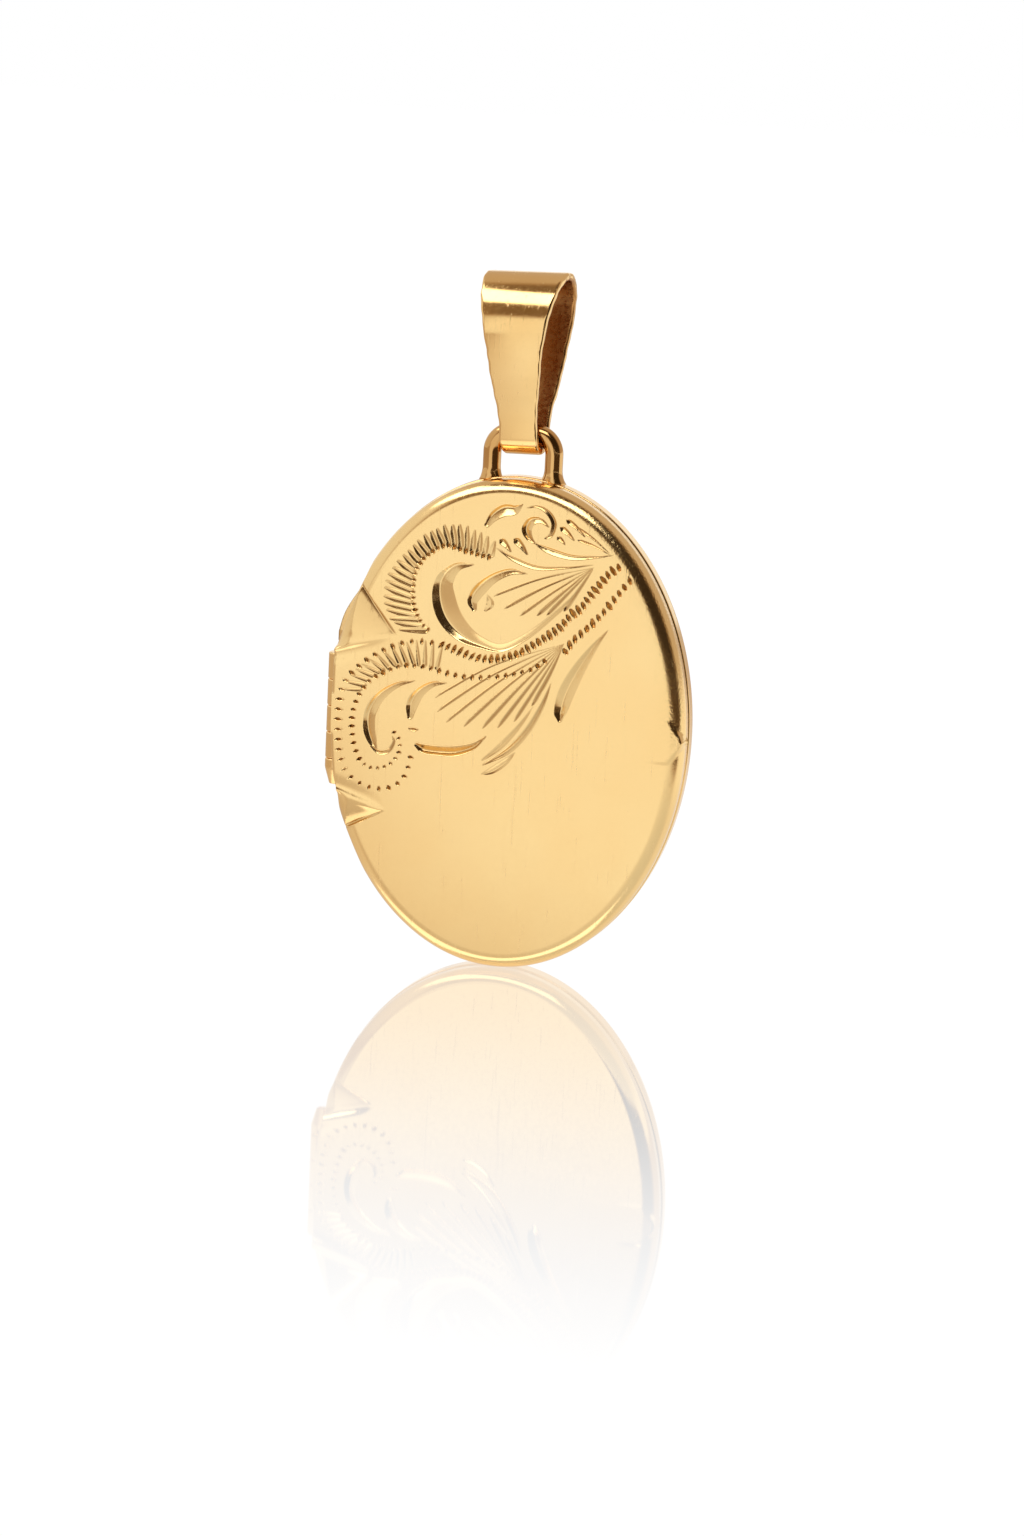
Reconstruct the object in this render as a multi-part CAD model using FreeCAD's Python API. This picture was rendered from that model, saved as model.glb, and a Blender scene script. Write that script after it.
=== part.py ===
import FreeCAD, Part
import math
import os

# Oval hinged locket on a folded strip bail. Millimetres, +Z up.
# The front faces -Y, the hinge is on the -X side and the thumb tip on the +X side.
# The origin is the middle of the oval on the flat back face. Shapes are made about
# the parting plane, where the two halves meet, and moved to the origin when written.

# ---- driving dimensions ----
half_height = 13.0          # of the oval, along Z
half_width = 9.6            # of the oval, along X
half_depth = 1.6            # of one half at its crown, along Y
crown = 0.25                # how far the face falls from its middle to its top end
shoulder = 0.8              # radius where the face turns into the wall
sheet = 0.32                # thickness of the pressed gold sheet
front_step = 0.05           # the front half is this much smaller all round
parting_gap = 0.03          # air between the closed halves

hinge_x = -9.22             # hinge pin's axis, which lies on the parting plane
hinge_middle = -0.5         # the hinge sits this far below the oval's middle
hinge_length = 7.1
knuckle_count = 5
knuckle_radius = 0.6
knuckle_gap = 0.04          # air between neighbouring knuckles
knuckle_clearance = 0.06    # air between a knuckle and the other half's groove
pin_radius = 0.25
pin_clearance = 0.03        # air between the pin and a front knuckle's bore
hinge_flat_x = -9.22        # where the straight hinge side cuts the oval
hinge_wall_x = -8.3         # inner face of the solid seat behind the knuckles

upper_pleat = ((-5.85, 4.45), (-8.2, 6.35))     # a pleat's inner tip, and its foot on the oval
lower_pleat = ((-6.05, -4.95), (-8.25, -6.15))
pleat_rise = 0.7            # height of a pleat's outer edge above the parting plane

lip_height = 0.42           # snap lip, proud of the parting plane
lip_thickness = 0.25
lip_clearance = 0.05
lip_end_x = -7.0            # the lip stops short of the hinge here
plate_low = 0.46            # seat plate: its two faces, measured from the parting plane
plate_high = 0.82
opening_x = 0.5             # middle of the oval opening in each seat plate
opening_half_width = 7.65
opening_half_height = 11.3
frame_low = 0.3             # photo frame: its two faces, measured from the parting plane
frame_high = 0.76
frame_wall = 0.35
frame_lap = 0.75            # how far the frame's inner lip reaches over the window
frame_lip = 0.12            # thickness of that inner lip
flange_reach = 0.3          # how far the frame's outer flange laps onto the seat plate
window_thickness = 0.12
photo_thickness = 0.12

loop_wire_radius = 0.47
loop_half_gauge = 1.64      # from the middle to a leg's centreline
loop_height = 2.25          # from the oval's top to the top wire's centreline
loop_corner = 1.05          # centreline radius of the loop's corners
loop_y = 0.5                # the loop stands on the back half's wall

bail_height = 9.4
bail_thickness = 0.4
bail_eye = 0.73             # inner radius of the fold that holds the loop
bail_half_depth = 2.35      # outside, at the belly
bail_belly = 5.3            # height of the belly above the loop's wire
bail_lean = 12.0            # degrees that each flank leans out where it leaves the fold
bail_widths = ((0.0, 2.04), (2.1, 2.1), (3.4, 2.5), (5.2, 2.95), (7.1, 3.6), (9.4, 4.45))
bail_hang = (-4.0, -2.0, -6.0)      # how the loose bail hangs: degrees about X, Y and Z

tip_reach = 0.06            # how far the thumb tip stands out past the oval
tip_half_length = 1.2
tip_root = 0.6              # how far the tip runs back into the face
tip_slant = 0.25            # how far its face falls on the way to its point
tip_nose = 0.3              # thickness at its point
tip_root_thickness = 0.35
tip_shoulder = 0.42         # half its length where the two edges turn in to the point

V = FreeCAD.Vector
ORIGIN = V(0, 0, 0)
X_AXIS = V(1, 0, 0)
Y_AXIS = V(0, 1, 0)
Z_AXIS = V(0, 0, 1)
BIG = 60.0


# Each half is built lying down: its X is X, its Y is the locket's height, and its
# Z is the depth from the parting plane.
def to_front(shape):
    turned = shape.copy()
    turned.rotate(ORIGIN, X_AXIS, 90)
    return turned


def to_back(shape):
    turned = shape.copy()
    turned.rotate(ORIGIN, X_AXIS, -90)
    return turned


def oval_face(rx, ry, z, cx=0.0):
    edge = Part.Ellipse(V(cx, 0, z), ry, rx)
    edge.rotate(FreeCAD.Placement(ORIGIN, FreeCAD.Rotation(Z_AXIS, 90), V(cx, 0, z)))
    return Part.Face(Part.Wire([edge.toShape()]))


def oval_prism(inset, low, high):
    face = oval_face(half_width - inset, half_height - inset, low)
    return face.extrude(V(0, 0, high - low))


def ring(outer_inset, inner_inset, low, high):
    return oval_prism(outer_inset, low, high).cut(oval_prism(inner_inset, low, high))


def opening_prism(grow, low, high):
    rx = opening_half_width + grow
    ry = opening_half_height + grow
    return oval_face(rx, ry, low, opening_x).extrude(V(0, 0, high - low))


def polygon_prism(points, low, high):
    corners = [V(x, y, low) for x, y in points]
    face = Part.Face(Part.makePolygon(corners + corners[:1]))
    return face.extrude(V(0, 0, high - low))


def crown_ball(inset):
    radius = (half_height ** 2 + crown ** 2) / (2 * crown)
    return Part.makeSphere(radius - inset, V(0, 0, half_depth - radius))


def flat_oval(inset, low, depth_inset):
    """The oval with a flat face and a rounded shoulder, for the back."""
    return rounded(oval_prism(inset, low, half_depth - depth_inset), inset)


def domed_oval(inset, low, depth_inset):
    """The oval with a crowned face and a rounded shoulder, for the front."""
    return rounded(oval_prism(inset, low, half_depth + 1).common(crown_ball(depth_inset)), inset)


def rounded(block, inset):
    top = max(edge.CenterOfMass.z for edge in block.Edges)
    rims = [edge for edge in block.Edges if edge.CenterOfMass.z > top - 0.3 and edge.Length > 20]
    return block.makeFillet(shoulder - inset * 0.8, rims)


def hinge_side(inset, low):
    """The flat part of the face that runs out to the hinge, with a straight side."""
    half_length = hinge_length / 2 - inset
    side = hinge_flat_x + inset
    points = [(side, hinge_middle - half_length), lower_pleat[0],
              upper_pleat[0], (side, hinge_middle + half_length)]
    return polygon_prism(points, low, half_depth + 1).common(crown_ball(inset))


def face_height(x, y):
    radius = (half_height ** 2 + crown ** 2) / (2 * crown)
    return half_depth - radius + math.sqrt(radius ** 2 - x * x - y * y)


def pleats(offset):
    """Solids that cut the two pleats, one above the hinge and one below it. Each is a
    triangular facet that falls from its tip on the face to a straight outer edge.
    offset moves every cut into the metal, for the inside."""
    upper = pleat(upper_pleat, hinge_middle + hinge_length / 2, offset)
    lower = pleat(lower_pleat, hinge_middle - hinge_length / 2, offset)
    return upper.fuse(lower)


def pleat(corners, end_y, offset):
    (tip_x, tip_y), (foot_x, foot_y) = corners
    along = V(foot_x - hinge_flat_x, foot_y - end_y, 0).normalize()
    outward = V(-abs(along.y), abs(along.x) * math.copysign(1, end_y), 0)
    edge_z = pleat_rise - offset
    near = V(hinge_flat_x, end_y, edge_z) - outward * offset - along * offset
    far = V(foot_x, foot_y, edge_z) - outward * offset + along * offset
    tip = V(tip_x, tip_y, face_height(tip_x, tip_y) - offset)
    past = outward * 2
    facet = facet_solid([tip, near, near + past, far + along + past, far])
    side = [near, near + past, far + along + past, far + along]
    return facet.fuse(polygon_prism([(p.x, p.y) for p in side], -1, half_depth + 1))


def facet_solid(points):
    """A prism above a sloping facet: the facet's plane is its lower face."""
    first, second, third = points[0], points[1], points[4]
    normal = (second - first).cross(third - first)
    top = half_depth + 1
    lower = []
    for point in points:
        z = first.z - (normal.x * (point.x - first.x) + normal.y * (point.y - first.y)) / normal.z
        lower.append(V(point.x, point.y, z))
    upper = [V(point.x, point.y, top) for point in lower]
    faces = [Part.Face(Part.makePolygon(lower + lower[:1])),
             Part.Face(Part.makePolygon(upper + upper[:1]))]
    for i in range(len(points)):
        j = (i + 1) % len(points)
        faces.append(Part.Face(Part.makePolygon([lower[i], lower[j], upper[j], upper[i], lower[i]])))
    solid = Part.makeSolid(Part.makeShell(faces))
    if solid.Volume < 0:
        solid.reverse()
    return solid


# ---- the hinge ----
pitch = hinge_length / knuckle_count


def knuckle_span(index):
    """The ends of a knuckle along the hinge, from the hinge's own middle."""
    middle = (index - (knuckle_count - 1) / 2) * pitch
    return middle - pitch / 2 + knuckle_gap / 2, middle + pitch / 2 - knuckle_gap / 2


def hinge_cylinder(radius, low, high):
    """A cylinder along the hinge axis, from the hinge's own middle, lying down."""
    return Part.makeCylinder(radius, high - low, V(hinge_x, low, 0), Y_AXIS)


def knuckle(index, bore):
    low, high = knuckle_span(index)
    return hinge_cylinder(knuckle_radius, low, high).cut(hinge_cylinder(bore, low, high))


def groove(own, middle):
    """The seat of a half's knuckles: tight round its own, loose round the others."""
    cutters = []
    for index in range(knuckle_count):
        low, high = knuckle_span(index)
        if index in own:
            cutters.append(hinge_cylinder(knuckle_radius, low, high))
        else:
            cutters.append(hinge_cylinder(knuckle_radius + knuckle_clearance,
                                          low - knuckle_gap, high + knuckle_gap))
    seat = cutters[0].multiFuse(cutters[1:])
    seat.translate(V(0, middle, 0))
    return seat


FRONT_KNUCKLES = (1, 3)
BACK_KNUCKLES = (0, 2, 4)


def past_hinge():
    """Everything outside the straight hinge side."""
    return Part.makeBox(5, BIG, 5, V(hinge_flat_x - 5, -BIG / 2, -1))


def hinge_seat(middle):
    """The solid stretch behind the knuckles, which the hollow leaves alone."""
    corner = V(hinge_wall_x - 5, middle - hinge_length / 2, -1)
    return Part.makeBox(5, hinge_length, 5, corner)


# ---- front half ----
def front_outside():
    body = domed_oval(front_step, parting_gap, 0)
    body = body.fuse(hinge_side(0, parting_gap))
    body = body.cut(past_hinge()).cut(pleats(0))
    return body.fuse(thumb_tip()).removeSplitter()


def front_inside():
    body = domed_oval(front_step + sheet, -1, sheet)
    return body.cut(hinge_seat(hinge_middle)).cut(pleats(sheet))


def thumb_tip():
    """The beak at the opening side: the face runs out over the shoulder to a point."""
    reach = half_width + tip_reach
    base = half_width - shoulder
    root = base - tip_root
    turn_x = half_width - 2 * tip_reach
    top = face_height(base, 0) + 0.01
    root_low = V(root, 0, top - tip_root_thickness)
    nose_low = top - tip_slant - tip_nose
    heel = V(base + tip_root_thickness, 0, nose_low - tip_nose)
    face = Part.Face(Part.makePolygon([root_low, V(base, 0, top), V(reach, 0, top - tip_slant),
                                       V(reach, 0, nose_low), heel, root_low]))
    bar = face.extrude(V(0, tip_half_length * 2, 0))
    bar.translate(V(0, -tip_half_length, 0))
    plan = polygon_prism([(root, -tip_half_length), (base, -tip_half_length),
                          (turn_x, -tip_shoulder), (reach, 0), (turn_x, tip_shoulder),
                          (base, tip_half_length), (root, tip_half_length)], -1, 4)
    return bar.common(plan)


def seat_plate(step):
    """The flat plate soldered inside a half, with the oval opening for a photo frame."""
    plate = oval_prism(step + sheet, plate_low, plate_high)
    return plate.cut(opening_prism(0, plate_low, plate_high))


def photo_frame():
    """A frame that presses into the seat plate: a flange outside, a thin lip inside."""
    body = opening_prism(0, frame_low, frame_high)
    body = body.fuse(opening_prism(flange_reach, frame_low, plate_low))
    body = body.cut(opening_prism(-frame_wall, frame_low + frame_lip, frame_high))
    return body.cut(opening_prism(-frame_lap, frame_low, frame_high)).removeSplitter()


# ---- back half ----
def back_outside():
    return flat_oval(0, 0, 0).cut(past_hinge())


def back_inside():
    return flat_oval(sheet, -1, sheet).cut(hinge_seat(-hinge_middle))


def snap_lip():
    """The collar soldered inside the back half, proud of the parting plane."""
    inner = sheet + front_step + lip_clearance + lip_thickness
    root = ring(sheet, inner, 0.0, plate_low)
    proud = ring(sheet + front_step + lip_clearance, inner, -lip_height, 0.0)
    collar = root.fuse(proud)
    hinge_end = Part.makeBox(10, BIG, 5, V(lip_end_x - 10, -BIG / 2, -2))
    return collar.cut(hinge_end).removeSplitter()


# ---- hanging parts ----
loop_top_z = half_height + loop_height


def bail_loop(wall):
    """A wire arch soldered on top of the back half."""
    gauge, top, corner = loop_half_gauge, loop_top_z, loop_corner
    foot = half_height - 1.2
    a = V(-gauge, loop_y, foot)
    b = V(-gauge, loop_y, top - corner)
    c = V(-gauge + corner, loop_y, top)
    d = V(gauge - corner, loop_y, top)
    e = V(gauge, loop_y, top - corner)
    f = V(gauge, loop_y, foot)
    slope = corner * (1 - math.sqrt(0.5))
    left = Part.Arc(b, V(-gauge + slope, loop_y, top - slope), c)
    right = Part.Arc(d, V(gauge - slope, loop_y, top - slope), e)
    path = Part.Wire([Part.LineSegment(a, b).toShape(), left.toShape(),
                      Part.LineSegment(c, d).toShape(), right.toShape(),
                      Part.LineSegment(e, f).toShape()])
    circle = Part.Wire([Part.Circle(a, Z_AXIS, loop_wire_radius).toShape()])
    wire = path.makePipeShell([circle], True, False)
    return wire.cut(wall)


def bezier(*points):
    curve = Part.BezierCurve()
    curve.setPoles([V(0, y, z) for y, z in points])
    return curve.toShape()


def bail_profile(inset):
    """Side outline of the bail, round the loop's wire: a fold below, two flanks that
    spread to the belly, and a rounder fold on top. The wire's axis is at 0, 0."""
    fold_radius = bail_eye + bail_thickness - inset
    belly = bail_half_depth - inset
    lean = math.radians(bail_lean)
    start_y = fold_radius * math.cos(lean)
    start_z = -fold_radius * math.sin(lean)
    reach = 2.4
    top = bail_height - bail_eye - bail_thickness - inset
    parts = []
    for side in (-1, 1):
        flank = bezier((side * start_y, start_z),
                       (side * (start_y + reach * math.sin(lean)), start_z + reach * math.cos(lean)),
                       (side * belly, bail_belly - 2.1),
                       (side * belly, bail_belly))
        crest = bezier((side * belly, bail_belly), (side * belly, top - 1.25 + inset * 0.5),
                       (side * (1.3 - inset * 0.5), top), (0, top))
        parts += [flank, crest]
    fold = Part.Arc(V(0, -start_y, start_z), V(0, 0, -fold_radius), V(0, start_y, start_z))
    return Part.Wire(Part.__sortEdges__(parts + [fold.toShape()]))


def bail():
    """A tapered strip folded into a drop, cut to its taper in front view."""
    depth = V(2 * half_width, 0, 0)
    outside = Part.Face(bail_profile(0)).extrude(depth)
    inside = Part.Face(bail_profile(bail_thickness)).extrude(depth)
    band = outside.cut(inside)
    band.translate(V(-half_width, loop_y, loop_top_z))
    base_z = loop_top_z - bail_eye - bail_thickness - 0.01
    right = [V(width / 2, 0, base_z + height) for height, width in bail_widths]
    right[-1] += V(0, 0, 0.02)
    sides = []
    for sign in (1, -1):
        side = Part.BSplineCurve()
        side.interpolate([V(sign * point.x, 0, point.z) for point in right])
        sides.append(side.toShape())
    top = Part.makeLine(right[-1], V(-right[-1].x, 0, right[-1].z))
    bottom = Part.makeLine(right[0], V(-right[0].x, 0, right[0].z))
    outline = Part.Wire(Part.__sortEdges__(sides + [top, bottom]))
    taper = Part.Face(outline).extrude(V(0, 20, 0))
    taper.translate(V(0, -10, 0))
    strip = band.common(taper)
    eye = V(0, loop_y, loop_top_z)
    for axis, angle in zip((X_AXIS, Y_AXIS, Z_AXIS), bail_hang):
        strip.rotate(eye, axis, angle)
    return strip


def write(name, shape):
    placed = shape.Solids[0].copy()
    placed.translate(V(0, -half_depth, 0))
    sound = len(shape.Solids) == 1 and placed.isValid()
    print("%-20s volume %8.3f  %s" % (name, placed.Volume, "one sound solid" if sound else "FAULT"))
    placed.exportStep("parts/%s.step" % name)


def write_front_half():
    inside = front_inside()
    shell = front_outside().cut(inside).cut(groove(FRONT_KNUCKLES, hinge_middle))
    write("front_cover", to_front(shell))
    plate = seat_plate(front_step).common(domed_oval(front_step + sheet, -1, sheet))
    plate = plate.cut(hinge_seat(hinge_middle)).cut(pleats(sheet))
    write("front_seat_plate", to_front(plate))


def write_back_half():
    outside = back_outside()
    inside = back_inside()
    shell = outside.cut(inside).cut(groove(BACK_KNUCKLES, -hinge_middle))
    write("back_cover", to_back(shell))
    write("back_seat_plate", to_back(seat_plate(0).common(inside)))
    write("snap_lip", to_back(snap_lip()))
    write("bail_loop", bail_loop(to_back(outside)))


def write_picture_parts():
    window_low = frame_low + frame_lip
    photo_low = window_low + window_thickness
    pieces = {"photo_frame": photo_frame(),
              "window": opening_prism(-frame_wall, window_low, photo_low),
              "photo": opening_prism(-frame_wall, photo_low, photo_low + photo_thickness)}
    for name, piece in pieces.items():
        write("front_" + name, to_front(piece))
        write("back_" + name, to_back(piece))


def write_hinge():
    names = ("back_knuckle_bottom", "front_knuckle_lower", "back_knuckle_middle",
             "front_knuckle_upper", "back_knuckle_top")
    for index, name in enumerate(names):
        bore = pin_radius + (pin_clearance if index in FRONT_KNUCKLES else 0)
        write(name, to_front(knuckle(index, bore)).translated(V(0, 0, hinge_middle)))
    pin_end = knuckle_span(knuckle_count - 1)[1]
    pin = to_front(hinge_cylinder(pin_radius, -pin_end, pin_end))
    write("hinge_pin", pin.translated(V(0, 0, hinge_middle)))


def main():
    os.makedirs("parts", exist_ok=True)
    write_front_half()
    write_back_half()
    write_picture_parts()
    write_hinge()
    write("bail", bail())


main()
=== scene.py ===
import math
import random

import bmesh
import bpy
import numpy as np
from mathutils import Matrix, Vector


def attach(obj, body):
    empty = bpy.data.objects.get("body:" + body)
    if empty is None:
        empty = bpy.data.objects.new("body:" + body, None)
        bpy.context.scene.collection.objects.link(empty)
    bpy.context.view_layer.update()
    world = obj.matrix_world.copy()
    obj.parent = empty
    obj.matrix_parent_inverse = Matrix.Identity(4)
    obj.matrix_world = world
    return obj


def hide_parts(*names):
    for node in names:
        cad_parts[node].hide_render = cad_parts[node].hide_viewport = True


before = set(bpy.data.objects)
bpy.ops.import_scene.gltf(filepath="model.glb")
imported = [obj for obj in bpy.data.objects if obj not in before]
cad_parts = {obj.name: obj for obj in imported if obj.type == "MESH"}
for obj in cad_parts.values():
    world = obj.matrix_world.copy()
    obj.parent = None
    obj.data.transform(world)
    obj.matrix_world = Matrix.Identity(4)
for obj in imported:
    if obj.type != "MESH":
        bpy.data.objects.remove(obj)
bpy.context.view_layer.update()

# An oval hinged locket with an engraved front, on a folded strip bail.
# Shapes are worked out in millimetres about the parting plane, in three directions:
# x across, h up the locket and d away from the parting plane. Meshes are in metres.

MM = 0.001
random.seed(7)

# ---- sizes repeated from the part, in millimetres ----
half_height = 13.0
half_width = 9.6
half_depth = 1.6
crown = 0.25
shoulder = 0.8
sheet = 0.32
front_step = 0.05
parting_gap = 0.03
hinge_x = -9.22
hinge_middle = -0.5
hinge_length = 7.1
knuckle_count = 5
knuckle_radius = 0.6
knuckle_gap = 0.04
pin_radius = 0.25
pin_clearance = 0.03
hinge_wall_x = -8.3
pleat_rise = 0.7
lower_pleat = ((-6.05, -4.95), (-8.25, -6.15))      # a pleat's inner tip, and its foot on the oval
opening_x = 0.5
opening_half_width = 7.65
opening_half_height = 11.3
frame_low = 0.3
frame_high = 0.76
frame_wall = 0.35
frame_lap = 0.75
frame_lip = 0.12
flange_reach = 0.3
plate_low = 0.46
loop_wire_radius = 0.47
loop_half_gauge = 1.64
loop_top = 15.25
loop_corner = 1.05
loop_y = 0.5
bail_height = 9.4
bail_thickness = 0.4
bail_eye = 0.73
bail_half_depth = 2.35
bail_belly = 5.3
bail_lean = 12.0
bail_widths = ((0.0, 2.04), (2.1, 2.1), (3.4, 2.5), (5.2, 2.95), (7.1, 3.6), (9.4, 4.45))
bail_hang = (-4.0, -2.0, -6.0)
beak = ((8.2, -1.2), (8.8, -1.2), (9.48, -0.42), (9.66, 0.0), (9.48, 0.42), (8.8, 1.2), (8.2, 1.2))
beak_depth = 1.33           # how far the beak's top is from the parting plane at its point
beak_underside = 0.85

# ---- sizes of the visible shapes alone, in millimetres ----
upper_pleat = ((-5.8, 4.45), (-7.85, 7.0))          # its foot is higher than in the part
upper_pleat_lift = 0.45     # and it meets the hinge side this much higher
rim_fall = 0.09             # the face falls away a little before it meets the shoulder
rim_fall_reach = 2.2        # over this width
hinge_rim = 0.14            # radius of the rim on the hinge side
hinge_draw = 0.28           # how far the hinge side draws in at its lower end
facet_lift = 0.1            # a facet's outer edge stands this far above the pleat's
facet_drop = 0.05           # and its inner edge this far below the face
facet_rim = 0.07            # radius of a facet's outer edge
ridge_height = 0.05         # of the ridge between a facet and the hinge side
ridge_width = 0.22
crease_depth = 0.1          # of the crease on the hinge side of that ridge
crease_place = 0.4          # its distance from the ridge
crease_width = 0.35
swell = 0.52                # how much fuller the back half is beside the hinge's upper end
swell_past_hinge = 0.45     # the furthest that this goes out past the hinge side
swell_underside = 1.1       # it is fuller only beyond this depth
swell_edge_depth = 1.35
groove_gap = 0.03           # air between the knuckles and the groove that they lie in
groove_past_hinge = 0.25    # at each end of the hinge
deepest_cut = 0.24          # of the engraving
solder_height = 0.75        # the solder round the loop's feet
solder_spread = 0.2
solder_limit = 0.49         # keeps the solder out of the front half
knuckle_filed = 0.26        # the lowest knuckle's end is filed to a slope


# ---- placing: a half's own (x, h, d) as points of the shared frame, in millimetres ----
def front(x, h, d):
    return np.stack([x, -half_depth - d, h], axis=-1)


def back(x, h, d):
    return np.stack([x, -half_depth + d, h], axis=-1)


def make_mesh(name, points, faces, body, node, material):
    """A visible piece that rides on a body and takes a CAD node's place."""
    mesh = bpy.data.meshes.new(name)
    mesh.from_pydata((np.asarray(points) * MM).tolist(), [], [tuple(face) for face in faces])
    mesh.validate()
    mesh.shade_smooth()
    mesh.materials.append(material)
    piece = bpy.data.objects.new(name, mesh)
    bpy.context.collection.objects.link(piece)
    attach(piece, body)
    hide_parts(node)
    return piece


def smooth_step(low, high, value):
    t = np.clip((value - low) / (high - low), 0.0, 1.0)
    return t * t * (3.0 - 2.0 * t)


# ---- curves ----
def smooth_curve(points, step):
    """Points along a smooth curve through the given ones, each with all its columns."""
    points = np.asarray(points, float)
    ends = np.vstack([2 * points[0] - points[1], points, 2 * points[-1] - points[-2]])
    parts = []
    for i in range(1, len(ends) - 2):
        before, start, end, after = ends[i - 1:i + 3]
        count = max(2, int(np.hypot(*(end - start)[:2]) / step))
        t = np.linspace(0, 1, count, endpoint=False)[:, None]
        parts.append(0.5 * (2 * start + (end - before) * t
                            + (2 * before - 5 * start + 4 * end - after) * t ** 2
                            + (3 * start - before - 3 * end + after) * t ** 3))
    parts.append(points[-1:])
    return np.vstack(parts)


def spread(points, count):
    """Evenly spaced points along a curve, with the unit tangent at each."""
    curve = smooth_curve(points, 0.05)
    run = np.concatenate([[0], np.cumsum(np.hypot(*np.diff(curve[:, :2], axis=0).T))])
    places = np.linspace(0, run[-1], count)
    even = np.stack([np.interp(places, run, column) for column in curve.T], axis=-1)
    tangent = np.gradient(even[:, :2], axis=0)
    return even, tangent / np.hypot(*tangent.T)[:, None]


# ---- the engraving: every cut is a curve of (x, h, width) ----
# A cut's lean says where its deepest line lies, from -1 at the right-hand edge of its
# travel to 1 at the left-hand edge. Its steepness is depth over width.
SCROLL_CUTS = (
    # the big C and its long tail
    (0.17, -0.42, ((-1.9, 8.45, 0.08), (-2.8, 8.25, 0.5), (-3.42, 7.45, 0.95), (-3.38, 6.5, 1.25),
                   (-3.0, 5.6, 1.25), (-2.25, 4.85, 1.0), (-1.3, 4.42, 0.6), (-0.2, 4.25, 0.42),
                   (1.05, 4.95, 0.34), (2.25, 6.0, 0.26), (3.5, 7.3, 0.18), (4.35, 8.65, 0.06))),
    # leaf inside the C
    (0.22, -0.45, ((0.95, 8.2, 0.05), (0.1, 8.25, 0.34), (-0.8, 7.85, 0.5), (-1.5, 7.2, 0.66),
                   (-1.85, 6.6, 0.55), (-1.75, 6.15, 0.25))),
    (0.10, 0.2, ((-1.1, 6.95, 0.08), (-0.95, 6.5, 0.45), (-1.15, 6.15, 0.2))),
    # two long leaves that close the upper scroll
    (0.24, 0.35, ((-0.75, 9.4, 0.05), (0.3, 8.87, 0.26), (1.5, 8.55, 0.24), (2.9, 8.68, 0.15),
                  (4.35, 8.92, 0.05))),
    (0.22, 0.35, ((1.2, 9.85, 0.05), (2.0, 9.5, 0.34), (3.2, 9.24, 0.3), (4.3, 9.32, 0.18),
                  (5.35, 9.5, 0.05))),
    # crescent and curl at the top
    (0.24, 0.45, ((-1.28, 10.6, 0.3), (-0.95, 11.05, 0.52), (-0.45, 11.38, 0.62),
                  (0.1, 11.45, 0.5), (0.5, 11.75, 0.08))),
    (0.26, 0.3, ((0.75, 11.6, 0.05), (1.3, 11.72, 0.16), (1.88, 11.42, 0.24), (2.2, 10.9, 0.26),
                 (2.1, 10.35, 0.24), (1.8, 10.12, 0.1))),
    (0.26, -0.35, ((1.95, 10.7, 0.06), (1.5, 11.0, 0.26), (1.02, 10.92, 0.46), (0.8, 10.5, 0.5),
                   (0.95, 10.1, 0.34), (1.25, 9.82, 0.08))),
    # lower left scroll with its curl
    (0.22, -0.3, ((-4.75, 2.12, 0.05), (-5.7, 1.82, 0.3), (-6.58, 1.15, 0.5), (-7.08, 0.25, 0.6),
                  (-7.12, -0.6, 0.62), (-6.9, -1.3, 0.45), (-6.7, -1.62, 0.12))),
    (0.26, -0.2, ((-6.95, -1.55, 0.12), (-6.5, -1.84, 0.24), (-6.0, -1.7, 0.22),
                  (-5.75, -1.2, 0.14), (-5.85, -0.95, 0.05))),
    # second scroll
    (0.22, -0.3, ((-3.05, 2.15, 0.05), (-3.8, 2.02, 0.32), (-4.48, 1.52, 0.52),
                  (-4.85, 0.85, 0.6), (-4.92, 0.2, 0.3))),
    (0.3, 0.0, ((-4.95, -0.42, 0.1), (-4.7, -0.47, 0.22), (-4.5, -0.45, 0.08))),
    # leaf under it
    (0.3, -0.4, ((-4.5, -1.25, 0.24), (-4.1, -1.42, 0.48), (-3.3, -1.45, 0.5), (-2.4, -1.38, 0.54),
                 (-1.5, -1.05, 0.36), (-0.82, -0.48, 0.05))),
    # long leaf at the end of the lower fan
    (0.25, -0.1, ((2.48, 2.6, 0.05), (2.05, 1.35, 0.24), (1.35, 0.0, 0.32), (0.42, -1.1, 0.34),
                  (-0.9, -2.0, 0.08))),
    (0.14, 0.3, ((1.6, 1.3, 0.05), (0.9, 0.2, 0.22), (0.0, -0.9, 0.3), (-0.95, -1.75, 0.12))),
    (0.12, 0.2, ((0.75, -1.2, 0.06), (0.25, -1.75, 0.34), (-0.4, -2.25, 0.36), (-0.95, -2.5, 0.1))),
    # bright-cut leaf on the right
    (0.23, -0.05, ((5.32, 5.62, 0.05), (4.62, 4.65, 0.36), (3.9, 3.45, 0.66), (3.32, 2.2, 0.82),
                   (3.05, 1.2, 0.66), (3.05, 0.72, 0.22))),
)

# short tapered gouges, thick end first: (start, end, width)
GOUGES = (
    ((-0.55, 9.85), (0.02, 9.28), 0.34), ((0.2, 9.95), (0.9, 9.2), 0.36),
    ((2.45, 10.22), (2.85, 9.85), 0.24), ((2.58, 10.72), (3.3, 10.12), 0.3),
    ((2.88, 11.12), (3.85, 10.35), 0.26), ((3.15, 10.9), (5.15, 9.62), 0.16),
    ((3.5, 10.15), (5.2, 9.52), 0.16),
)

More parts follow.
